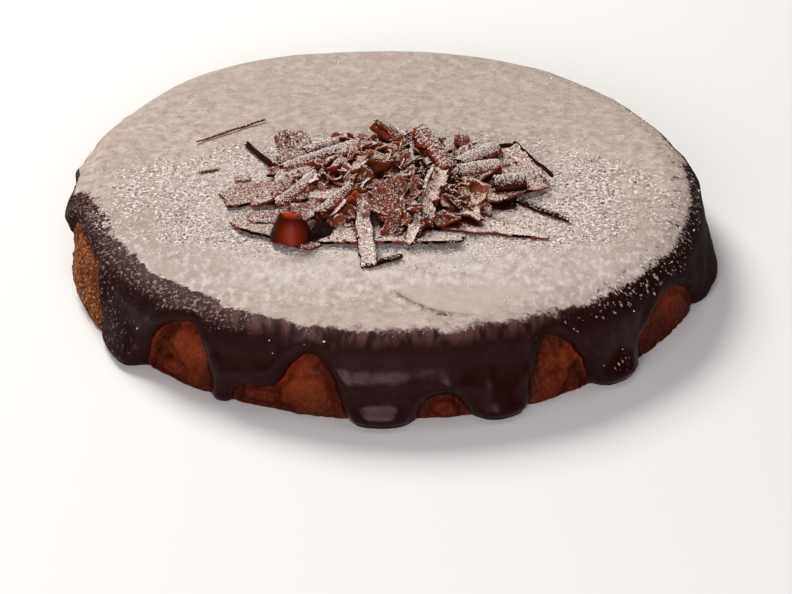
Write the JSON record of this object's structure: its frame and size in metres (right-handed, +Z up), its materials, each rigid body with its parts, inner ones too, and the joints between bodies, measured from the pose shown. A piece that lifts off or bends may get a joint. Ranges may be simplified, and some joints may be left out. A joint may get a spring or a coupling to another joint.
{
  "type": "chocolate cake",
  "caption": "Round chocolate cake: a low sponge under poured icing that runs down the side in drips, topped with a heap of chocolate shavings and dusted with icing sugar.",
  "frame": {"origin": "middle of the cake's flat base, on the plate", "axes": "+Z up, -Y to the front of the cake"},
  "size_m": [0.2389, 0.2461, 0.0467],
  "materials": {
    "sponge": "open crumb, matt",
    "icing": "satin chocolate icing, dusted with icing sugar on top",
    "shavings": "satin shaved chocolate, dusted with icing sugar"
  },
  "bodies": {
    "root": {"sponge": "sponge", "icing": "icing", "shavings": "shavings"}
  },
  "joints": []
}
